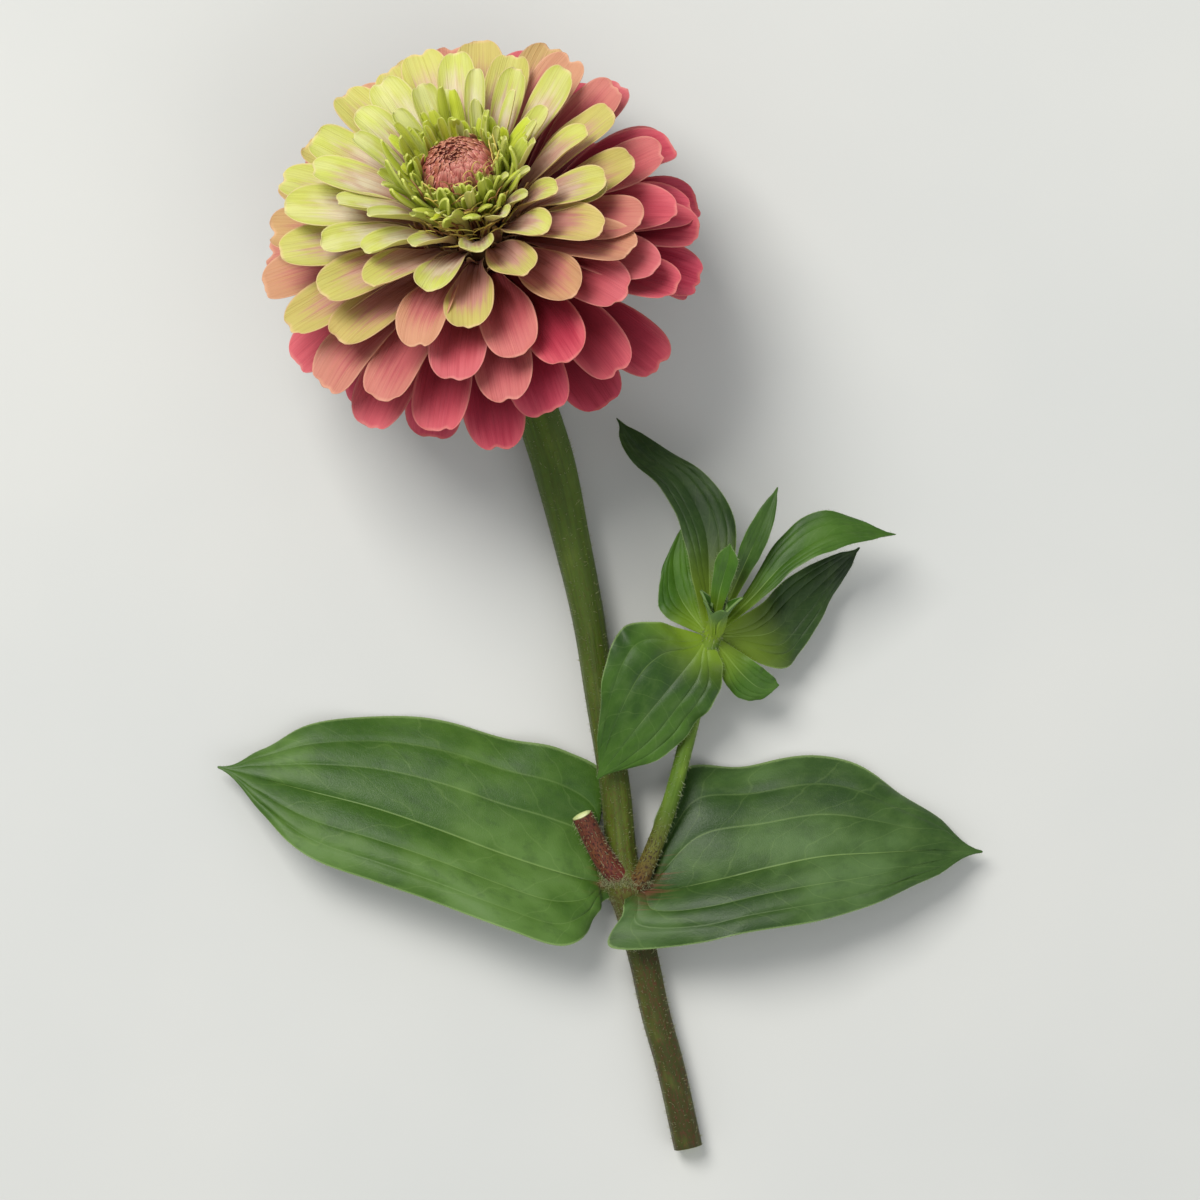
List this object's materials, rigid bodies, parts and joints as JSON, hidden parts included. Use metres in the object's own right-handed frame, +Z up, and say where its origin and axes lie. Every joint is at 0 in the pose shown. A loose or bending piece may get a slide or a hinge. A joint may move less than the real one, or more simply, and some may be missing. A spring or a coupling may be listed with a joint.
{
  "type": "zinnia flower",
  "caption": "Cut double zinnia lying on its back: lime, dusty pink and crimson ray petals round a pink-brown disc, on a leafy green stem.",
  "frame": {"origin": "middle of the footprint, on the surface that the flower lies on", "axes": "+Y along the stem from the cut end towards the flower head, +Z up from the surface, +X to the right as seen from above with the head at the top"},
  "size_m": [0.1342, 0.193, 0.0609],
  "materials": {
    "petal_crimson": "matte",
    "petal_blush": "matte",
    "petal_lime": "matte",
    "disc_scales": "matte",
    "bract_green": "matte",
    "stem_green": "satin",
    "leaf_green": "satin",
    "shoot_green": "satin"
  },
  "bodies": {
    "root": {"ray_petals_crimson": "petal_crimson", "ray_petals_blush": "petal_blush", "ray_petals_lime": "petal_lime", "disc": "disc_scales", "involucre": "bract_green", "stem": "stem_green", "leaf_left": "leaf_green", "leaf_right": "leaf_green", "side_shoot": "shoot_green"}
  },
  "joints": []
}
